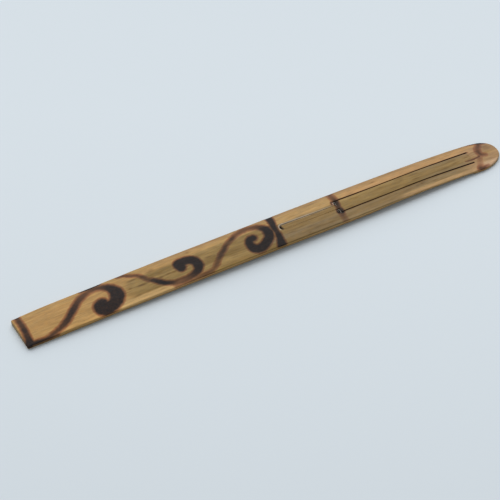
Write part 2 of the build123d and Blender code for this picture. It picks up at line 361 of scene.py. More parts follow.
BLACK_BAND = [
    (5.8, 8.4, 1.5, 1), (5.6, 4.6, 1.35, 1), (5.05, 1.8, 1.15, 1), (5.05, -0.1, 1, 0.92),
    (4.9, -3.2, 1.25, 1), (4.2, -6.4, 1.55, 1), (3.7, -9.1, 2.1, 1),
]
STEP_FAR_BURN = [
    (36.7, 8.8, 0.9, 0.6), (36.8, 7.2, 1, 0.5), (37.05, 5, 1.1, 0.66), (37.1, 3.9, 0.95, 0.9),
]
STEP_NEAR_BURN = [
    (36.2, -4.2, 0.7, 0.6), (36, -5.8, 0.6, 0.3), (35.9, -8.1, 0.75, 0.28), (35.8, -9.5, 0.8, 0.3),
]
STEP_FAR_RING = [(35.3, 3.7, 0.25, 0.95), (34.85, 3.1, 0.2, 0.9), (34.8, 1.9, 0.12, 0.7)]
STEP_NEAR_RING = [(35.1, -1.4, 0.2, 0.8), (34.95, -2.6, 0.35, 0.95), (35.1, -3.8, 0.35, 0.95)]
SHOULDER_BURN = [
    (37.2, 3.4, 1, 0.95), (37.1, 1.6, 1, 0.85), (36.7, 0, 0.9, 0.7), (36.6, -2.2, 1.1, 0.9),
    (36.7, -3.6, 1.1, 1),
]
TIP_RIM_BURN = [
    (108.3, 8.35, 0.4, 0.75), (111.5, 7.9, 0.75, 1), (114.3, 7, 1, 1), (116.6, 5.8, 0.55, 0.9),
]
TIP_FAR_BURN = [
    (114.1, 6.7, 0.8, 0.85), (112.9, 4.9, 0.75, 0.6), (111.4, 2.9, 0.8, 0.54), (111, 1, 0.72, 0.72),
    (111.5, -0.5, 0.45, 0.7), (113.1, -1.3, 0.2, 0.5),
]
TIP_NEAR_BURN = [
    (109.5, -2.4, 0.25, 0.28), (108.5, -4.6, 0.3, 0.12), (107.6, -6.6, 0.6, 0.3), (106.9, -8, 1, 0.78),
]
TIP_NEAR_SMUDGE = [(106.9, -8.3, 0.55, 0.8), (109, -8, 0.5, 0.75), (111, -7.6, 0.2, 0.35)]
TIP_STREAK = [
    (102.6, -1.5, 0.08, 0.4), (105.2, -1.7, 0.16, 0.6), (107.5, -1.65, 0.22, 0.8),
    (110.3, -1.1, 0.22, 0.75),
]
SLIT_END_BURN = [(103.6, 3.42, 0.05, 0.6), (104.9, 3.36, 0.22, 0.9), (106.3, 3.2, 0.1, 0.8)]
FAR_RIM_BURN = [(-86.5, 8.35, 0.6, 0.9), (-82, 8.45, 1, 1), (-78, 8.5, 0.75, 0.95)]
# Each stroke with how soft its edges are, in mm.
STROKES = [
    (SCROLL_1, 0.78), (SCROLL_2, 0.6), (EDGE_STROKE, 0.7), (SCROLL_3, 0.65), (END_BAND, 0.7),
    (CORNER_BURN, 0.7), (BLACK_BAND, 0.55), (STEP_FAR_BURN, 0.7), (STEP_NEAR_BURN, 0.8),
    (SHOULDER_BURN, 0.5), (STEP_FAR_RING, 0.3), (STEP_NEAR_RING, 0.3), (TIP_FAR_BURN, 0.9),
    (TIP_NEAR_BURN, 0.9), (TIP_STREAK, 0.3), (TIP_RIM_BURN, 0.5), (TIP_NEAR_SMUDGE, 0.6),
    (FAR_RIM_BURN, 0.6), (SLIT_END_BURN, 0.25),
]
# Where scorch and char start outside a stroke's radius, and how wide they come in, in softnesses.
SCORCH_START, SCORCH_WIDTH = -1.7, 0.8
CHAR_START, CHAR_WIDTH = -1.3, 2.0
WOBBLE, FINE_WOBBLE = 0.14, 0.05  # how much a stroke's edge wanders
# The slits' rims are singed: how wide, how much char and scorch, and rows of (x, strength)
SINGE_REACH = 0.35
SINGE_CHAR, SINGE_SCORCH = 0.3, 0.5
SINGE_ALONG = [(37, 2.4), (48, 1.9), (56, 0.8), (76, 0.7), (84, 1.1), (96, 2.4), (106, 3.0)]


def burn_at(points):
    """Char and scorch at each plan point, both 0 to 1."""
    x, y = points.T
    wobble = WOBBLE * layered(x * 0.9, y * 0.9, 2) + FINE_WOBBLE * noise(x * 3.1, y * 3.1)
    char = np.zeros(len(points))
    scorch = np.zeros(len(points))
    for stroke, softness in STROKES:
        dots = smooth_path(stroke, STROKE_STEP)
        reach = dots[:, 2].max() - SCORCH_START * softness + 2 * (WOBBLE + FINE_WOBBLE)
        near = (x > dots[:, 0].min() - reach) & (x < dots[:, 0].max() + reach)
        index = np.flatnonzero(near)
        for cx, cy, radius, strength in dots:
            depth = (radius - np.hypot(x[index] - cx, y[index] - cy) + wobble[index]) / softness
            core = strength * rise(depth, CHAR_START, CHAR_WIDTH)
            brown = min(1, strength + 0.4) * rise(depth, SCORCH_START, SCORCH_WIDTH)
            char[index] = np.maximum(char[index], core)
            scorch[index] = np.maximum(scorch[index], brown)
    return char, scorch


def singe_at(x, to_cut):
    """How singed the skin is beside the slits, from the distance to the nearest cut."""
    at, strength = np.array(SINGE_ALONG).T
    return fall(to_cut, 0, SINGE_REACH) * (x > STEP_X + 1) * np.interp(x, at, strength)


# ---- Surfaces ----
def skin_height(x, y):
    """The skin side without its rounded edges: a long bow, crowned across."""
    at, height = np.array(SKIN_LINE, float).T
    bow = smooth_at(height[:, None], at, x)[:, 0]
    amount = np.where(y > 0, CROWN_FAR, np.interp(x, CROWN_NEAR_X, CROWN_NEAR))
    side = np.clip((np.abs(y) - FLAT_HALF) / CROWN_REACH, 0, 1)
    return bow - amount * side**CROWN_POWER


def tongue_sag(x):
    """The tongue bends a little down out of the frame, from its root to the needle's tip."""
    return TONGUE_SAG * np.clip((ROOT_X - x) / (ROOT_X - NEEDLE_TIP_X), 0, 1) ** SAG_POWER


def skin_relief(x, y, char):
    """Fibre ridges, slow unevenness of the scraped skin and the sunken burn, all at or under the skin."""
    fibres = FIBRE_RELIEF * layered(x * 0.03, y * 1.15, 2)
    slow = SLOW_RELIEF * noise(x * 0.045 + 3.1, y * 0.28)
    return fibres + slow - (1.5 * FIBRE_RELIEF + SLOW_RELIEF) - BURN_DEPTH * char


def underside_height(x, profile):
    xs, zs = np.array(profile, float).T
    return np.interp(x, xs, zs)


def knife_marks(x, y):
    """Shallow facets left by the knife on the underside."""
    facet = x / FACET_LENGTH
    cell = np.floor(facet + 0.35 * noise(y * 0.4, x * 0.02))
    tilt = LATTICE[cell.astype(int) % 256, 5]
    ridges = 1 + tilt * np.cos(2 * math.pi * facet) + 0.7 * layered(x * 0.05, y * 0.8, 2)
    return FACET_DEPTH * ridges


def edge_drop(away, radius):
    """How far a rounded edge falls at a distance from it."""
    inside = np.clip(radius - away, 0, radius)
    return radius - np.sqrt(radius**2 - inside**2)


# ---- Colour of the bamboo, before any burn ----
TAN = (177, 144, 98)
WARM_TAN = (171, 133, 87)
EDGE_TAN = (188, 158, 112)
RAIL_TAN = (184, 146, 104)
CHEEK_TAN = (177, 145, 100)
PALE_OLIVE = (153, 129, 88)
OLIVE = (137, 114, 77)
DEEP_OLIVE = (121, 99, 66)
GREY_OLIVE = (136, 119, 95)
NEAR_OLIVE = (130, 108, 79)
PINK_TAN = (170, 138, 106)
PALE_PINK = (182, 154, 127)
TIP_OLIVE = (133, 107, 84)
TIP_AMBER = (156, 126, 84)
NEAR_TAN = (176, 145, 108)
BLADE_TAN = (146, 122, 86)
NEEDLE_OLIVE = (133, 109, 76)
FAR_BROWN = (166, 134, 99)  # smoke along the far edge
CUT_TAN = (203, 166, 120)  # raw bamboo on the strip's sides
END_GREY = (142, 131, 114)  # the handle's sawn end
PITH = (186, 154, 106)  # the underside
SLIT_BROWN = (62, 44, 27)
# painted highlight: pale on the slot's cut edges, at the top of its walls and along the needle
SLOT_PAINTED_HIGHLIGHT = (200, 194, 188)
# painted shade deep in the slot's walls
SLOT_PAINTED_SHADE = (128, 110, 88)
# painted light at the step: its walls and a glint at its edge pale, for bright glimpses through the gap
STEP_PAINTED_LIGHT = (222, 220, 217)
FLECK = (84, 62, 42)
RIM_BROWN = (116, 96, 70)
FAR_RIM = 0.55  # width of the browned line along the far edge
SLOT_HIGHLIGHT_WIDTH, SLOT_HIGHLIGHT_SOFT = 0.75, 0.35  # width of the painted highlight along the slot, and of its soft edge
SLOT_HIGHLIGHT_ALONG = [(SLOT_X, 0.6), (SLOT_X + 8, 0.55), (24, 0.5), (STEP_X, 0.2)]  # its strength
STEP_GLINT, GLINT_HALF = (35.6, 2.4), (0.38, 0.7)  # where a painted glint lies at the step's edge
NEEDLE_HIGHLIGHT_WIDTH = 0.45  # width of the painted highlight along the needle's far side
CORNER_SOOT, CORNER_SOOT_SOFT = 1.8, 1.8  # reach of the soot round the handle's near corner, and its fade
SOOTY_ENDS = (-104, 112)  # beyond these x the strip's sides are sooty
DARK_PATCH_X, DARK_PATCH_HALF = 102, 1.4  # a dark patch low on the near side
FIBRE_CONTRAST = 0.05


def mix(a, b, share):
    share = np.clip(share, 0, 1)[:, None]
    return a * (1 - share) + np.asarray(b, float) * share


def washed(tone, *washes):
    """A tone with colours laid over it in turn: each has its colour, its strength and where it lies."""
    for colour, strength, where in washes:
        tone = mix(tone, colour, strength * where)
    return tone


def flat(colour, count):
    return np.tile(np.array(colour, float), (count, 1))


def streaks_at(x, y):
    """Long fibre streaks, a slower unevenness and short blotches, each about -1 to 1."""
    streak = layered(x * 0.035 + 9.0, y * 0.9, 3) / 1.3
    slow = layered(x * 0.02 + 3.0, y * 0.3, 2)
    blotch = layered(x * 0.11, y * 0.42 + 4.0, 3) / 1.3
    return streak, slow, blotch


# Dark flecks in the skin: rows of (x, y, half length, half width, strength)
FLECKS = [
    (-67.1, -0.9, 0.9, 0.3, 0.5), (-61.8, -1.3, 1.9, 0.45, 0.75), (-55.4, -0.3, 0.7, 0.25, 0.4),
    (-52.3, -1.3, 1.0, 0.35, 0.6), (-48.6, -0.8, 1.2, 0.3, 0.5), (-45.7, -1.0, 1.4, 0.35, 0.5),
    (-29.0, -0.2, 1.8, 0.3, 0.45), (-64.0, 3.4, 2.6, 0.4, 0.4), (-55.0, 4.2, 2.2, 0.35, 0.35),
    (92.0, -1.3, 4.0, 0.35, 0.3), (96.0, 1.6, 3.0, 0.3, 0.25), (70.0, -5.3, 3.0, 0.4, 0.3),
]
FLECK_COUNT = 150


def all_flecks():
    """The large flecks and many faint small ones scattered along the fibres."""
    random = np.random.RandomState(5)
    x = random.uniform(-70, 112, FLECK_COUNT)
    y = random.uniform(-8, 8, FLECK_COUNT)
    long = random.uniform(0.4, 2.6, FLECK_COUNT)
    thin = random.uniform(0.1, 0.26, FLECK_COUNT)
    strength = random.uniform(0.08, 0.34, FLECK_COUNT)
    return FLECKS + list(zip(x, y, long, thin, strength))


# Painted counter-shade against the window's light on the crowned skin: how much paler the near edge is
# painted, as rows of (x, share), and how much darker the far edge
NEAR_LIGHT = [
    (-85, 0.09), (-55, 0.07), (-5, 0.07), (8, -0.04), (32, -0.04), (42, 0.07), (75, 0.04), (100, 0.09),
]
FAR_PAINTED_SHADE = 0.055


def edge_light(x, y):
    """Painted counter-shade: the far edge, turned towards the window, is painted a little darker; the near
    edge is painted paler or darker along the strip.
    """
    at, near_light = np.array(NEAR_LIGHT).T
    near = np.interp(x, at, near_light) * fall(y, -8.5, 5.5)
    return 1 + near - FAR_PAINTED_SHADE * rise(y, 2, 6.5)


def flecked(tone, x, y):
    for fx, fy, half_long, half_thin, strength in all_flecks():
        index = np.flatnonzero((np.abs(x - fx) < 2 * half_long) & (np.abs(y - fy) < 2 * half_thin + 0.3))
        if len(index):
            away = ((x[index] - fx) / half_long) ** 2 + ((y[index] - fy) / (half_thin + 0.12)) ** 2
            tone[index] = mix(tone[index], FLECK, strength * np.exp(-away))
    fibre = noise(x * 0.22, y * 1.9 + 5.0) + 0.7 * noise(x * 0.5 + 20.0, y * 2.6)
    return tone * (1 + FIBRE_CONTRAST * fibre)[:, None]


def scraped_tone(x, y, near_scraped):
    """Light bamboo: the handle's end, the scraped edges, the cheeks and the rails."""
    streak, slow, _ = streaks_at(x, y)
    return washed(
        flat(TAN, len(x)),
        (WARM_TAN, 1, 0.30 + 0.45 * slow + 0.2 * streak),
        (WARM_TAN, 0.55, hump(y, -1.6, 2.2) * fall(x, -94, 10)),
        (CHEEK_TAN, 1, rise(x, 2, 6)),
        (RAIL_TAN, 1, rise(x, 38, 6)),
        (EDGE_TAN, 0.85, near_scraped * rise(x, -82, 10)),
    )


def smoked_tone(x, y):
    """Dark olive bamboo in streaks, greyer on the near side past the handle's middle."""
    streak, _, blotch = streaks_at(x, y)
    return washed(
        flat(OLIVE, len(x)),
        (PALE_OLIVE, 1, 0.5 + 0.55 * streak + 0.3 * blotch - 0.3 * rise(x, -26, 20)),
        (DEEP_OLIVE, 1, 0.15 - 0.75 * streak - 0.35 * blotch),
        (NEAR_OLIVE, 0.6, rise(x, 4, 8)),
        (GREY_OLIVE, fall(y, -5.0, 2.4) * rise(x, -16, 26), 0.55 + 0.5 * streak),
    )


def skin_tone(points, slot_rim, outer_rim):
    """Smoked skin in the middle, lighter where it was scraped along the edges and at the handle end."""
    x, y = points.T
    streak, _, blotch = streaks_at(x, y)
    near_scraped = fall(y - 0.5 * streak, -6.7, 1.8) * fall(x, -50, 22)
    far_line = 4.7 + 0.5 * rise(x, -40, 30) - 1.9 * rise(x, 1, 7)
    middle = fall(y - far_line - 0.5 * streak, -1.5, 1.5)
    smoked = rise(x + 5 * blotch, -75, 13) * middle * (1 - near_scraped)
    along_slot = (x > SLOT_X - 2) * (x < STEP_X + 0.2) * (y > -0.9)
    rim_at, rim_strength = np.array(SLOT_HIGHLIGHT_ALONG).T
    glint = hump(x, STEP_GLINT[0], GLINT_HALF[0], 4) * hump(y, STEP_GLINT[1], GLINT_HALF[1], 4)
    tone = washed(
        scraped_tone(x, y, near_scraped),
        (smoked_tone(x, y), 1, smoked),
        (FAR_BROWN, 0.75, rise(y + 0.4 * streak, 6.0, 1.6) * rise(x, -62, 20)),
        (NEAR_TAN, 0.85, fall(y - 0.3 * streak, -7.0, 1.0) * rise(x, 60, 12)),
        (PINK_TAN, 0.85, fall(y, 4.5, 2) * rise(x - 4 * streak, 97, 12)),
        (PALE_PINK, 0.9, fall(y - streak, -5.8, 2.2) * rise(x, 106, 5)),
        (TIP_OLIVE, 0.95, hump(x, 115.5, 2.6) * hump(y, 2.9, 2.0)),
        (TIP_AMBER, 0.7, hump(x, 114.5, 2.2) * hump(y, -0.2, 1.1)),
        (RIM_BROWN, 0.6 * (y > 0), fall(outer_rim, 0, FAR_RIM) * rise(x, -75, 10)),
        # painted highlight along the slot's far edge and round its blind end
        (SLOT_PAINTED_HIGHLIGHT, np.interp(x, rim_at, rim_strength) * along_slot,
         fall(slot_rim, SLOT_HIGHLIGHT_WIDTH - SLOT_HIGHLIGHT_SOFT, SLOT_HIGHLIGHT_SOFT)),
        # painted glint at the step's edge
        (STEP_PAINTED_LIGHT, 0.8, glint * (x < STEP_X + 0.3)),
    )
    # edge_light paints counter-shade onto the skin's edges
    return flecked(tone, x, y) * edge_light(x, y)[:, None]


def tongue_tone(points):
    """Olive skin on the blade and the shoulder, greyer sides towards the root, a painted highlight along the
    needle's far side.
    """
    x, y = points.T
    streak, _, blotch = streaks_at(x, y)
    needle_side = np.interp(x, [NEEDLE_TIP_X, SHOULDER_X], NEEDLE_FAR)
    root_half = rise(x, 72, 14)
    tone = washed(
        flat(OLIVE, len(x)),
        (PALE_OLIVE, 1, 0.1 + 0.4 * streak + 0.25 * blotch),
        (DEEP_OLIVE, 1, -0.15 - 0.5 * streak - 0.3 * blotch),
        (PALE_OLIVE, 0.8, rise(y, 1.2, 1.2) * fall(x, 62, 16)),
        (GREY_OLIVE, 0.65, rise(np.abs(y), 0.9, 1.4) * root_half),
        (BLADE_TAN, 0.6, fall(np.abs(y), 0.2, 1.2) * root_half),
        (PINK_TAN, 0.55, rise(x, 96, 14)),
        (NEEDLE_OLIVE, 0.6, fall(x, SHOULDER_X - 2, 2)),
        # painted highlight along the needle's far side
        (SLOT_PAINTED_HIGHLIGHT, 0.4, rise(y - needle_side, -NEEDLE_HIGHLIGHT_WIDTH, 0.3) * fall(x, SHOULDER_X - 10, 8)),
    )
    return flecked(tone, x, y)


def wall_look(points, share, outer, char, scorch):
    """Colour, char and scorch on the walls, from share 0 at their top edge, which gives points and burns.

    outer tells the strip's own sides from its cuts."""
    x, y = points.T
    end = outer * (x < HANDLE_X + END_SKEW + 0.5) * (np.abs(y) < 8.2)
    slot = (~outer) * (x < STEP_X - 0.5)
    step = (~outer) * (x > STEP_X - 0.5) * (x < SHOULDER_X + 0.5)
    # painted light: the step's walls are pale below their top edge, and free of soot
    pale = step * rise(share, 0.12, 0.2)
    dark_patch = outer * (y < 0) * fall(np.abs(x - DARK_PATCH_X), DARK_PATCH_HALF, 1.2) * rise(share, 0.35, 0.3)
    line = layered(x * 0.05, share * 4.0 + 7.0, 2)
    # painted shade: the strip's sides are painted up to 24% darker towards their foot
    side_tone = flat(CUT_TAN, len(x)) * (1 - 0.24 * rise(share, 0.35, 0.5))[:, None]
    # painted highlight at the top of the slot's walls, going over to painted shade deeper down
    slot_tone = mix(flat(SLOT_PAINTED_HIGHLIGHT, len(x)), SLOT_PAINTED_SHADE, rise(share, 0.30, 0.25))
    tone = washed(
        flat(SLIT_BROWN, len(x)),
        (side_tone, 1, outer),
        (OLIVE, outer, np.clip(0.22 + 0.3 * line, 0, 0.6)),
        (END_GREY, end, 0.8 + 0.2 * line),
        (slot_tone, 1, slot),
        (STEP_PAINTED_LIGHT, 1, pale),
        (FLECK, 0.75, dark_patch),
    )
    from_corner = np.hypot(x - HANDLE_X - END_SKEW, y - NEAR_EDGE[-1][1])
    outer_soot = np.where((x < SOOTY_ENDS[0]) | (x > SOOTY_ENDS[1]), 0.85 - 0.5 * share, 0.3)
    outer_soot = np.maximum(outer_soot, 0.95 * fall(from_corner, CORNER_SOOT, CORNER_SOOT_SOFT))
    soot = np.where(outer, outer_soot, np.where(slot, 0.0, 0.25)) * (1 - pale)
    return tone, char * soot, scorch * soot


# ---- Mesh building ----
def graded(total, step, low=True, high=True):
    """Fractions of a width: close together at a rounded edge, even between."""
    first = [m for m in EDGE_STEPS if m < total * 0.45] if low else [0.0]
    last = [total - m for m in EDGE_STEPS if m < total * 0.45] if high else [total]
    count = max(1, round((last[-1] - first[-1]) / step))
    inner = np.linspace(first[-1], last[-1], count + 1)
    marks = np.unique(np.round(np.concatenate([first, inner, last]), 6))
    return marks / total


def patch(near, far, ts, ss, start=None, end=None, reach=None):
    """A plan grid between a near and a far path. start and end are paths across, from near to far."""
    a, b = along(near, ts), along(far, ts)
    s = np.asarray(ss)[None, :, None]
    grid = a[:, None, :] * (1 - s) + b[:, None, :] * s
    size = (path_length(near) + path_length(far)) / 2
    for path, row, t in ((start, 0, np.asarray(ts)), (end, -1, 1 - np.asarray(ts))):
        if path is None:
            continue
        weight = np.clip(1 - t * size / reach, 0, 1) ** 2 if reach else 1 - t
        grid = grid + weight[:, None, None] * (along(path, ss) - grid[row])[None]
    return grid


def sheet_of(*grids):
    """Plan points and quads of one or more grids, joined where their points meet."""
    points, quads, start = [], [], 0
    for grid in grids:
        rows, columns = grid.shape[:2]
        index = start + np.arange(rows * columns).reshape(rows, columns)
        corners = [index[:-1, :-1], index[1:, :-1], index[1:, 1:], index[:-1, 1:]]
        quads.append(np.stack([c.ravel() for c in corners], 1))
        points.append(grid.reshape(-1, 2))
        start += rows * columns
    points, quads = np.vstack(points), np.vstack(quads)
    _, first, back = np.unique(np.round(points, 4), axis=0, return_index=True, return_inverse=True)
    return points[first], back.ravel()[quads]


def boundary_of(quads):
    """Directed edges that only one quad has."""
    edges = np.vstack([quads[:, [k, (k + 1) % 4]] for k in range(4)])
    seen = set(map(tuple, edges))
    return np.array([edge for edge in map(tuple, edges) if (edge[1], edge[0]) not in seen])


def add_attribute(mesh, name, kind, values):
    attribute = mesh.attributes.new(name, kind, "POINT")
    field = {"FLOAT": "value", "FLOAT_VECTOR": "vector", "FLOAT_COLOR": "color"}[kind]
    attribute.data.foreach_set(field, np.asarray(values, np.float32).ravel())


VEIL = np.array([0.018, 0.027, 0.040])  # the room's sheen, taken off so that colours come out true


def linear(colour):
    c = np.clip(np.asarray(colour, float) / 255, 0, 1)
    return np.maximum(np.where(c <= 0.04045, c / 12.92, ((c + 0.055) / 1.055) ** 2.4) - VEIL, 0.006)


def surfaces(points, char, tongue, under):
    """Skin and underside heights at plan points, colour, distance to a cut, and what lies on the outline."""
    x, y = points.T
    skin = skin_height(x, y)
    if tongue:
        to_cut = distance_to(TONGUE_OPEN, points)
        outer = np.zeros(len(points), bool)
        drop = lift = edge_drop(to_cut, CUT_ROUND)
        skin = skin - tongue_sag(x)
        tone = tongue_tone(points)
    else:
        to_outer = distance_to(OUTER_OPEN, points)
        to_cut = distance_to(WINDOW_OPEN, points)
        outer = to_outer < 0.01
        drop = np.maximum(edge_drop(to_outer, OUTER_ROUND), edge_drop(to_cut, CUT_ROUND))
        lift = np.maximum(edge_drop(to_outer, UNDER_ROUND), edge_drop(to_cut, CUT_ROUND))
        tone = skin_tone(points, to_cut, to_outer)
    top = skin + skin_relief(x, y, char) - drop
    low = np.maximum(underside_height(x, under) + knife_marks(x, y), LOWEST) + lift
    return top, np.minimum(low, top - THINNEST), tone, to_cut, outer


def wall_faces(quads, count):
    """The rim's points, and the walls' quads. In the mesh come the skin, the underside, then the walls."""
    edges = boundary_of(quads)
    rim = np.unique(edges)
    levels = [np.arange(count)]
    for k in range(1, WALL_ROWS):
        row = np.full(count, -1)
        row[rim] = 2 * count + (k - 1) * len(rim) + np.arange(len(rim))
        levels.append(row)
    levels.append(np.arange(count) + count)
    a, b = edges.T
    return rim, [np.stack([up[a], down[a], down[b], up[b]], 1) for up, down in zip(levels[:-1], levels[1:])]


def closed_mesh(name, xyz, faces):
    mesh = bpy.data.meshes.new(name)
    mesh.vertices.add(len(xyz))
    mesh.vertices.foreach_set("co", (xyz * MM).ravel())
    mesh.loops.add(faces.size)
    mesh.loops.foreach_set("vertex_index", faces.ravel().astype(np.int32))
    mesh.polygons.add(len(faces))
    mesh.polygons.foreach_set("loop_start", np.arange(0, faces.size, 4, dtype=np.int32))
    mesh.polygons.foreach_set("use_smooth", np.ones(len(faces), bool))
    mesh.update(calc_edges=True)
    mesh.validate()
    mesh.set_sharp_from_angle(angle=math.radians(SHARP_ANGLE))
    return mesh


def member(name, grids, material, tongue=False, under=UNDERSIDE):
    """One carved member: skin, underside and walls as a closed mesh with its colour and burn attributes."""
    points, quads = sheet_of(*grids)
    x, y = points.T
    n = len(points)
    char, scorch = burn_at(points)
    top, low, tone, to_cut, outer = surfaces(points, char, tongue, under)
    lean = UNDERCUT * rise(np.abs(y), *UNDERCUT_Y) * fall(x, *UNDERCUT_X)
    skin_xyz = np.column_stack([points, top])
    foot_xyz = np.column_stack([x, y - np.sign(y) * lean, low])

    rim, walls = wall_faces(quads, n)
    faces = np.vstack([quads, quads[:, ::-1] + n] + walls)
    wall_rim = np.tile(rim, WALL_ROWS - 1)
    shares = np.repeat(np.arange(1, WALL_ROWS) / WALL_ROWS, len(rim))
    xyz = np.vstack([skin_xyz, foot_xyz, mix(skin_xyz[wall_rim], foot_xyz[wall_rim], shares)])
    mesh = closed_mesh(name, xyz, faces)

    wall_tone, wall_char, wall_scorch = wall_look(
        points[wall_rim], shares, outer[wall_rim], char[wall_rim], scorch[wall_rim]
    )
    singed = singe_at(x, to_cut)
    skin_char = np.maximum(char, np.minimum(SINGE_CHAR * singed, 0.9))
    skin_scorch = np.maximum(scorch, np.minimum(SINGE_SCORCH * singed, 1))
    all_tone = np.vstack([tone, flat(PITH, n), wall_tone])
    clean = np.zeros(n)
    add_attribute(mesh, "strip_mm", "FLOAT_VECTOR", xyz)
    add_attribute(mesh, "tone", "FLOAT_COLOR", np.column_stack([linear(all_tone), np.ones(len(xyz))]))
    add_attribute(mesh, "char", "FLOAT", np.concatenate([skin_char, clean, wall_char]))
    add_attribute(mesh, "scorch", "FLOAT", np.concatenate([skin_scorch, clean, wall_scorch]))
    add_attribute(mesh, "raw", "FLOAT", np.arange(len(xyz)) >= n)
    mesh.materials.append(material)
    piece = bpy.data.objects.new(name, mesh)
    bpy.context.scene.collection.objects.link(piece)
    return piece


# ---- Material ----
# Noise scales along X, Y and Z, per mm
FIBRE_SCALE, STREAK_SCALE, MOTTLE_SCALE = (0.10, 3.6, 3.6), (0.03, 1.3, 1.3), (0.5, 1.1, 1.1)
VESSEL_SCALE, CRACKLE_SCALE = (0.45, 5.5, 5.5), (0.9, 1.6, 1.6)
WARM_TINT, GREEN_TINT = (1.0, 0.90, 0.80, 1), (0.95, 1.0, 0.90, 1)
VESSEL_BROWN = (0.085, 0.052, 0.028, 1)
SCORCH_TINT = (0.71, 0.46, 0.40, 1)
CHAR_DARK, CHAR_LIGHT = (0.0088, 0.0080, 0.0094, 1), (0.0150, 0.0125, 0.0135, 1)
SHEEN = 0.25
BUMP_STRENGTH, BUMP_HEIGHT = 0.55, 0.00006  # the height is in metres


def bamboo_material(name):
    """Bamboo with fibre streaks, vascular flecks, scorch and char, read from the mesh's own attributes."""
    material = bpy.data.materials.new(name)
    material.use_nodes = True
    tree = material.node_tree
    nodes, links = tree.nodes, tree.links
    nodes.clear()

    def node(kind, **settings):
        made = nodes.new(kind)
        for key, value in settings.items():
            setattr(made, key, value)
        return made

    def attribute(which, output):
        return node("ShaderNodeAttribute", attribute_name=which).outputs[output]

    def fractal(scale, offset, detail, roughness):
        mapping = node("ShaderNodeMapping")
        mapping.inputs["Scale"].default_value = scale
        mapping.inputs["Location"].default_value = (offset, offset * 0.7, offset * 0.3)
        links.new(strip_mm, mapping.inputs["Vector"])
        texture = node("ShaderNodeTexNoise")
        texture.inputs["Scale"].default_value = 1.0
        texture.inputs["Detail"].default_value = detail
        texture.inputs["Roughness"].default_value = roughness
        links.new(mapping.outputs["Vector"], texture.inputs["Vector"])
        return texture.outputs["Fac"]

    def ranged(value, *limits):
        made = node("ShaderNodeMapRange")
        links.new(value, made.inputs["Value"])
        for key, limit in zip(("From Min", "From Max", "To Min", "To Max"), limits):
            made.inputs[key].default_value = limit
        return made.outputs["Result"]

    def maths(operation, first, second):
        made = node("ShaderNodeMath", operation=operation)
        for socket, value in zip(made.inputs, (first, second)):
            if isinstance(value, (int, float)):
                socket.default_value = value
            else:
                links.new(value, socket)
        return made.outputs[0]

    def times(first, second):
        return maths("MULTIPLY", first, second)

    def blended(kind, factor, first, second):
        made = node("ShaderNodeMix", data_type="RGBA", blend_type=kind)
        for key, value in ((0, factor), (6, first), (7, second)):
            if isinstance(value, (int, float, tuple)):
                made.inputs[key].default_value = value
            else:
                links.new(value, made.inputs[key])
        return made.outputs[2]

    def scaled(colour, factor):
        made = node("ShaderNodeVectorMath", operation="SCALE")
        links.new(colour, made.inputs[0])
        links.new(factor, made.inputs["Scale"])
        return made.outputs[0]

    strip_mm = attribute("strip_mm", "Vector")
    tone = attribute("tone", "Color")
    char = attribute("char", "Fac")
    scorch = attribute("scorch", "Fac")
    raw = attribute("raw", "Fac")

    fine = fractal(FIBRE_SCALE, 0, 5.0, 0.62)
    streaks = fractal(STREAK_SCALE, 5, 3.0, 0.55)
    mottle = fractal(MOTTLE_SCALE, 9, 5.0, 0.65)
    fleck_field = fractal(VESSEL_SCALE, 13, 2.0, 0.5)
    flecks = ranged(fleck_field, 0.64, 0.74, 0.0, 1.0)

    grain = ranged(fine, 0.3, 0.7, 0.88, 1.11)
    streaked = ranged(streaks, 0.3, 0.7, 0.92, 1.08)
    mottled = ranged(mottle, 0.3, 0.7, 0.90, 1.09)
    shade = times(times(grain, streaked), mottled)
    wood = scaled(tone, shade)
    warm = blended("MULTIPLY", ranged(mottle, 0.48, 0.75, 0.0, 0.6), wood, WARM_TINT)
    green = blended("MULTIPLY", ranged(streaks, 0.50, 0.78, 0.0, 0.6), warm, GREEN_TINT)
    flecked_wood = blended("MIX", times(flecks, 0.30), green, VESSEL_BROWN)

    crackle = fractal(CRACKLE_SCALE, 21, 5.0, 0.7)
    soft_scorch = times(scorch, ranged(fine, 0.2, 0.8, 0.84, 1.04))
    scorched = blended("MULTIPLY", soft_scorch, flecked_wood, SCORCH_TINT)
    hard_char = times(char, ranged(crackle, 0.25, 0.6, 0.88, 1.0))
    char_colour = blended("MIX", crackle, CHAR_DARK, CHAR_LIGHT)
    colour = blended("MIX", hard_char, scorched, char_colour)

    shader = node("ShaderNodeBsdfPrincipled")
    rough = maths("ADD", ranged(mottle, 0.3, 0.7, 0.52, 0.66), times(raw, 0.16))
    rough = maths("ADD", rough, times(char, 0.24))
    links.new(colour, shader.inputs["Base Color"])
    links.new(rough, shader.inputs["Roughness"])
    shader.inputs["Specular IOR Level"].default_value = SHEEN

    height = maths("ADD", times(fine, 0.7), times(flecks, -0.5))
    height = maths("ADD", height, times(times(crackle, char), 0.9))
    height = maths("ADD", height, times(times(fine, raw), 0.8))
    bump = node("ShaderNodeBump")
    bump.inputs["Strength"].default_value = BUMP_STRENGTH
    bump.inputs["Distance"].default_value = BUMP_HEIGHT
    links.new(height, bump.inputs["Height"])
    links.new(bump.outputs["Normal"], shader.inputs["Normal"])

    output = node("ShaderNodeOutputMaterial")
    links.new(shader.outputs["BSDF"], output.inputs["Surface"])
    return material


# ---- The members ----
END_REACH = 7.0  # how far the handle end's slant fades out along it
BLADE_WIDTH, NEEDLE_WIDTH, LOBE_WIDTH = 6.4, 2.2, 4.3
HEAD_CAP = 3.2  # length of the head's rounded cap
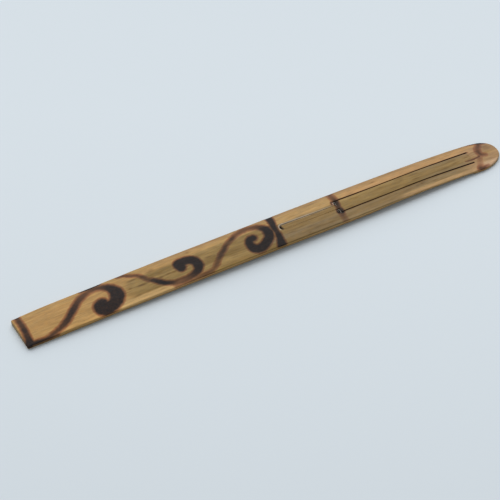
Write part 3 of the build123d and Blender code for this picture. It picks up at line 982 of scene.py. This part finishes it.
# Outer edge, end of the seam at the step, and slot wall on the far and the near side
SIDES = {1: (FAR_LINE, SEAM_FAR_X, SLOT_FAR), -1: (NEAR_LINE, SEAM_NEAR_X, SLOT_NEAR)}


def handle():
    near = np.vstack([corner(-1, 45, 90), between(NEAR_LINE, NEAR_LINE[0, 0] + CORNER_RADIUS, SLOT_X)[1:]])
    far = np.vstack([corner(1, 45, 90), between(FAR_LINE, FAR_LINE[0, 0] + CORNER_RADIUS, SLOT_X)[1:]])
    start = np.vstack([corner(-1, 45, 0), corner(1, 0, 45)])
    end = np.vstack([[near[-1]], slot_end(), [far[-1]]])
    ts = graded(path_length(near), GRID)
    ss = graded(path_length(start), GRID)
    grid = patch(near, far, ts, ss, start, end, reach=END_REACH)
    return member("handle_bamboo", [grid], bamboo_material("handle_skin"))


def cheek(name, side):
    """A strip beside the needle; side is 1 for far, -1 for near."""
    edge, seam_x, slot_y = SIDES[side]
    outer = between(edge, SLOT_X, seam_x)
    arc = slot_end()
    inner = np.array([arc[-1] if side > 0 else arc[0], across(STEP_X, STEP_SKEW, slot_y[1])])
    lines = (inner, outer) if side > 0 else (outer, inner)
    ts = graded(path_length(inner), GRID, low=False)
    ss = graded(np.linalg.norm(outer[-1] - inner[-1]), GRID)
    return member(name, [patch(*lines, ts, ss)], bamboo_material(name + "_skin"))


def rail(name, side):
    edge, seam_x, _ = SIDES[side]
    wall = FAR_WALL if side > 0 else NEAR_WALL
    step = STEP_FAR if side > 0 else STEP_NEAR
    outer = between(edge, seam_x, RAIL_END_X)
    inner = between(np.vstack([[step], wall[wall[:, 0] > step[0]]]), step[0], RAIL_END_X)
    lines = (inner, outer) if side > 0 else (outer, inner)
    ts = graded(path_length(inner), GRID, low=False, high=False)
    ss = graded(np.linalg.norm(outer[0] - inner[0]), GRID * 0.9)
    return member(name, [patch(*lines, ts, ss)], bamboo_material(name + "_skin"))


def plucking_end():
    """The rounded end: two lobes beside the tongue's root and the head beyond it, joined in one mesh."""
    far_lobe = (between(FAR_WALL, RAIL_END_X, ROOT_X), between(FAR_LINE, RAIL_END_X, ROOT_X))
    near_lobe = (between(NEAR_LINE, RAIL_END_X, ROOT_X), between(NEAR_WALL, RAIL_END_X, ROOT_X))
    ts = graded(path_length(far_lobe[0]), GRID * 0.8, low=False)
    lobe_ss = graded(LOBE_WIDTH, GRID * 0.9)
    marks = [line[-1][1] for line in (*near_lobe, NEAR_SIDE, FAR_SIDE, *far_lobe)]
    slit_ss = np.linspace(0, 1, 5)
    root_ss = graded(marks[3] - marks[2], GRID, low=False, high=False)
    widths = [lobe_ss, slit_ss, root_ss, slit_ss, lobe_ss]
    ys = np.concatenate([low + (high - low) * w for low, high, w in zip(marks[:-1], marks[1:], widths)])
    ys = np.unique(np.round(ys, 5))
    ss = (ys - ys[0]) / (ys[-1] - ys[0])
    round_near = NEAR_LINE[NEAR_LINE[:, 0] > ROOT_X]
    round_far = FAR_LINE[FAR_LINE[:, 0] > ROOT_X]
    split = TIP_X - HEAD_CAP
    near = np.vstack([[near_lobe[0][-1]], round_near[round_near[:, 0] < split]])
    far = np.vstack([[far_lobe[1][-1]], round_far[round_far[:, 0] < split]])
    cap_near = round_near[round_near[:, 0] >= split]
    cap_far = round_far[round_far[:, 0] >= split]
    tip = np.vstack([[near[-1]], cap_near, cap_far[::-1], [far[-1]]])
    head_ts = graded(path_length(near), GRID * 0.8, low=False)
    head = patch(near, far, head_ts, ss, end=tip)
    head[0, :, 0] = ROOT_X
    head[0, :, 1] = ys
    grids = [patch(*far_lobe, ts, lobe_ss), patch(*near_lobe, ts, lobe_ss), head]
    return member("plucking_end_bamboo", grids, bamboo_material("plucking_end_skin"))


def tongue_member(word, grid, under=TONGUE_UNDER):
    material = bamboo_material("tongue_" + word + "_skin")
    return member("tongue_" + word + "_bamboo", [grid], material, tongue=True, under=under)


def tongue_blade():
    near, far = between(NEAR_SIDE, BLADE_X, ROOT_X), between(FAR_SIDE, BLADE_X, ROOT_X)
    ts = graded(path_length(near), GRID, low=False, high=False)
    return tongue_member("blade", patch(near, far, ts, graded(BLADE_WIDTH, GRID * 0.9)))


def tongue_shoulder():
    near = between(from_point(NEAR_SIDE, SHOULDER_NEAR), SHOULDER_NEAR[0], BLADE_X)
    far = between(from_point(FAR_SIDE, SHOULDER_FAR), SHOULDER_FAR[0], BLADE_X)
    ts = graded(path_length(near), GRID * 0.7, high=False)
    return tongue_member("shoulder", patch(near, far, ts, graded(BLADE_WIDTH, GRID * 0.7)))


def tongue_needle():
    near = np.array([NEEDLE_TIP_NEAR, BASE_NEAR])
    far = np.array([NEEDLE_TIP_FAR, BASE_FAR])
    ts = graded(path_length(far), GRID * 0.8, high=False)
    grid = patch(near, far, ts, graded(NEEDLE_WIDTH, GRID * 0.5))
    return tongue_member("needle", grid, [(NEEDLE_TIP_X, NEEDLE_UNDER), (SHOULDER_X, NEEDLE_UNDER)])


def place():
    """Every member stands for its CAD node; those that cross a bending place are baked where they stand and
    attached to no body.
    """
    for piece, node in (
        (handle(), "handle"),
        (cheek("far_cheek_bamboo", 1), "far_cheek"),
        (cheek("near_cheek_bamboo", -1), "near_cheek"),
    ):
        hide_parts(node)
        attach(piece, "handle")
    for piece, node in (
        (rail("far_rail_bamboo", 1), "far_rail"),
        (rail("near_rail_bamboo", -1), "near_rail"),
    ):
        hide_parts(node)
        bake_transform(piece)
    end = plucking_end()
    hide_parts("plucking_end")
    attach(end, "frame_end")
    blade = tongue_blade()
    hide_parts("tongue_blade")
    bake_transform(blade)
    for piece, node in ((tongue_shoulder(), "tongue_shoulder"), (tongue_needle(), "tongue_needle")):
        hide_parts(node)
        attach(piece, "tongue")


# ---- Stage, light and camera: lengths here are in metres ----
CAMERA_AZIMUTH, CAMERA_ELEVATION = -27.8, 47.6
CAMERA_TARGET = (-0.00895, -0.00207, 0.0)
CAMERA_DISTANCE = 1.06342
CAMERA_LENS = 173.2
FLOOR_HALF = 3.0
# Painted shade on the floor: it is a little paler further from the viewer and darker towards it: rows of
# (distance, share of its colour)
FLOOR_ROWS = [
    (-FLOOR_HALF, 0.943), (-0.14, 0.943), (-0.08, 0.972), (0.0, 1.0), (0.08, 1.02), (FLOOR_HALF, 1.02),
]
FLOOR_COLOUR = (0.672, 0.738, 0.791)


def stage():
    """A pale floor in rows across the line of sight, with painted shade darker towards the viewer."""
    turn = math.radians(CAMERA_AZIMUTH)
    away = np.array([-math.sin(turn), math.cos(turn)])
    side = np.array([math.cos(turn), math.sin(turn)])
    points, shades = [], []
    for distance, share in FLOOR_ROWS:
        for offset in (-FLOOR_HALF, FLOOR_HALF):
            points.append((*(distance * away + offset * side), 0.0))
            shades.append([value * share for value in FLOOR_COLOUR] + [1.0])
    faces = [(2 * k, 2 * k + 1, 2 * k + 3, 2 * k + 2) for k in range(len(FLOOR_ROWS) - 1)]
    mesh = bpy.data.meshes.new("floor")
    mesh.from_pydata(points, [], faces)
    add_attribute(mesh, "shade", "FLOAT_COLOR", np.array(shades))
    floor = bpy.data.objects.new("floor", mesh)
    bpy.context.scene.collection.objects.link(floor)
    material = bpy.data.materials.new("pale_floor")
    material.use_nodes = True
    tree = material.node_tree
    shader = tree.nodes["Principled BSDF"]
    shade = tree.nodes.new("ShaderNodeAttribute")
    shade.attribute_name = "shade"
    tree.links.new(shade.outputs["Color"], shader.inputs["Base Color"])
    shader.inputs["Roughness"].default_value = 1.0
    shader.inputs["Specular IOR Level"].default_value = 0.0
    mesh.materials.append(material)


SKY_SHARE = 0.36  # the room's part of the light that falls on the floor
WINDOW_TOWARDS = (0.16, 0.86)  # plan direction of the window, seen from the object
WINDOW_ELEVATION = 43.0
WINDOW_ANGLE = 75.0  # how wide the window looks, in degrees
ROOM_COLOUR, WINDOW_COLOUR = (0.97, 0.985, 1.0, 1), (1.0, 0.993, 0.98)


def lights():
    """An even pale room and one broad window behind the strip, which light the floor to its own colour."""
    world = bpy.data.worlds.new("soft_room")
    world.use_nodes = True
    background = world.node_tree.nodes["Background"]
    background.inputs["Color"].default_value = ROOM_COLOUR
    background.inputs["Strength"].default_value = SKY_SHARE
    bpy.context.scene.world = world
    elevation = math.radians(WINDOW_ELEVATION)
    light = bpy.data.lights.new("window", "SUN")
    light.angle = math.radians(WINDOW_ANGLE)
    light.energy = (1 - SKY_SHARE) * math.pi / math.sin(elevation)
    light.color = WINDOW_COLOUR
    lamp = bpy.data.objects.new("window", light)
    along_floor = Vector(WINDOW_TOWARDS).normalized() * math.cos(elevation)
    towards = Vector((along_floor.x, along_floor.y, math.sin(elevation)))
    lamp.rotation_euler = towards.to_track_quat("Z", "Y").to_euler()
    bpy.context.scene.collection.objects.link(lamp)
    bpy.context.scene.view_settings.view_transform = "Standard"


def camera():
    a, e = math.radians(CAMERA_AZIMUTH), math.radians(CAMERA_ELEVATION)
    back = Vector((math.sin(a) * math.cos(e), -math.cos(a) * math.cos(e), math.sin(e)))
    data = bpy.data.cameras.new("camera")
    data.lens = CAMERA_LENS
    data.sensor_width = 36
    data.clip_start, data.clip_end = 0.01, 20
    made = bpy.data.objects.new("camera", data)
    made.location = Vector(CAMERA_TARGET) + back * CAMERA_DISTANCE
    made.rotation_euler = (-back).to_track_quat("-Z", "Y").to_euler()
    bpy.context.scene.collection.objects.link(made)
    bpy.context.scene.camera = made


stage()
lights()
camera()
place()
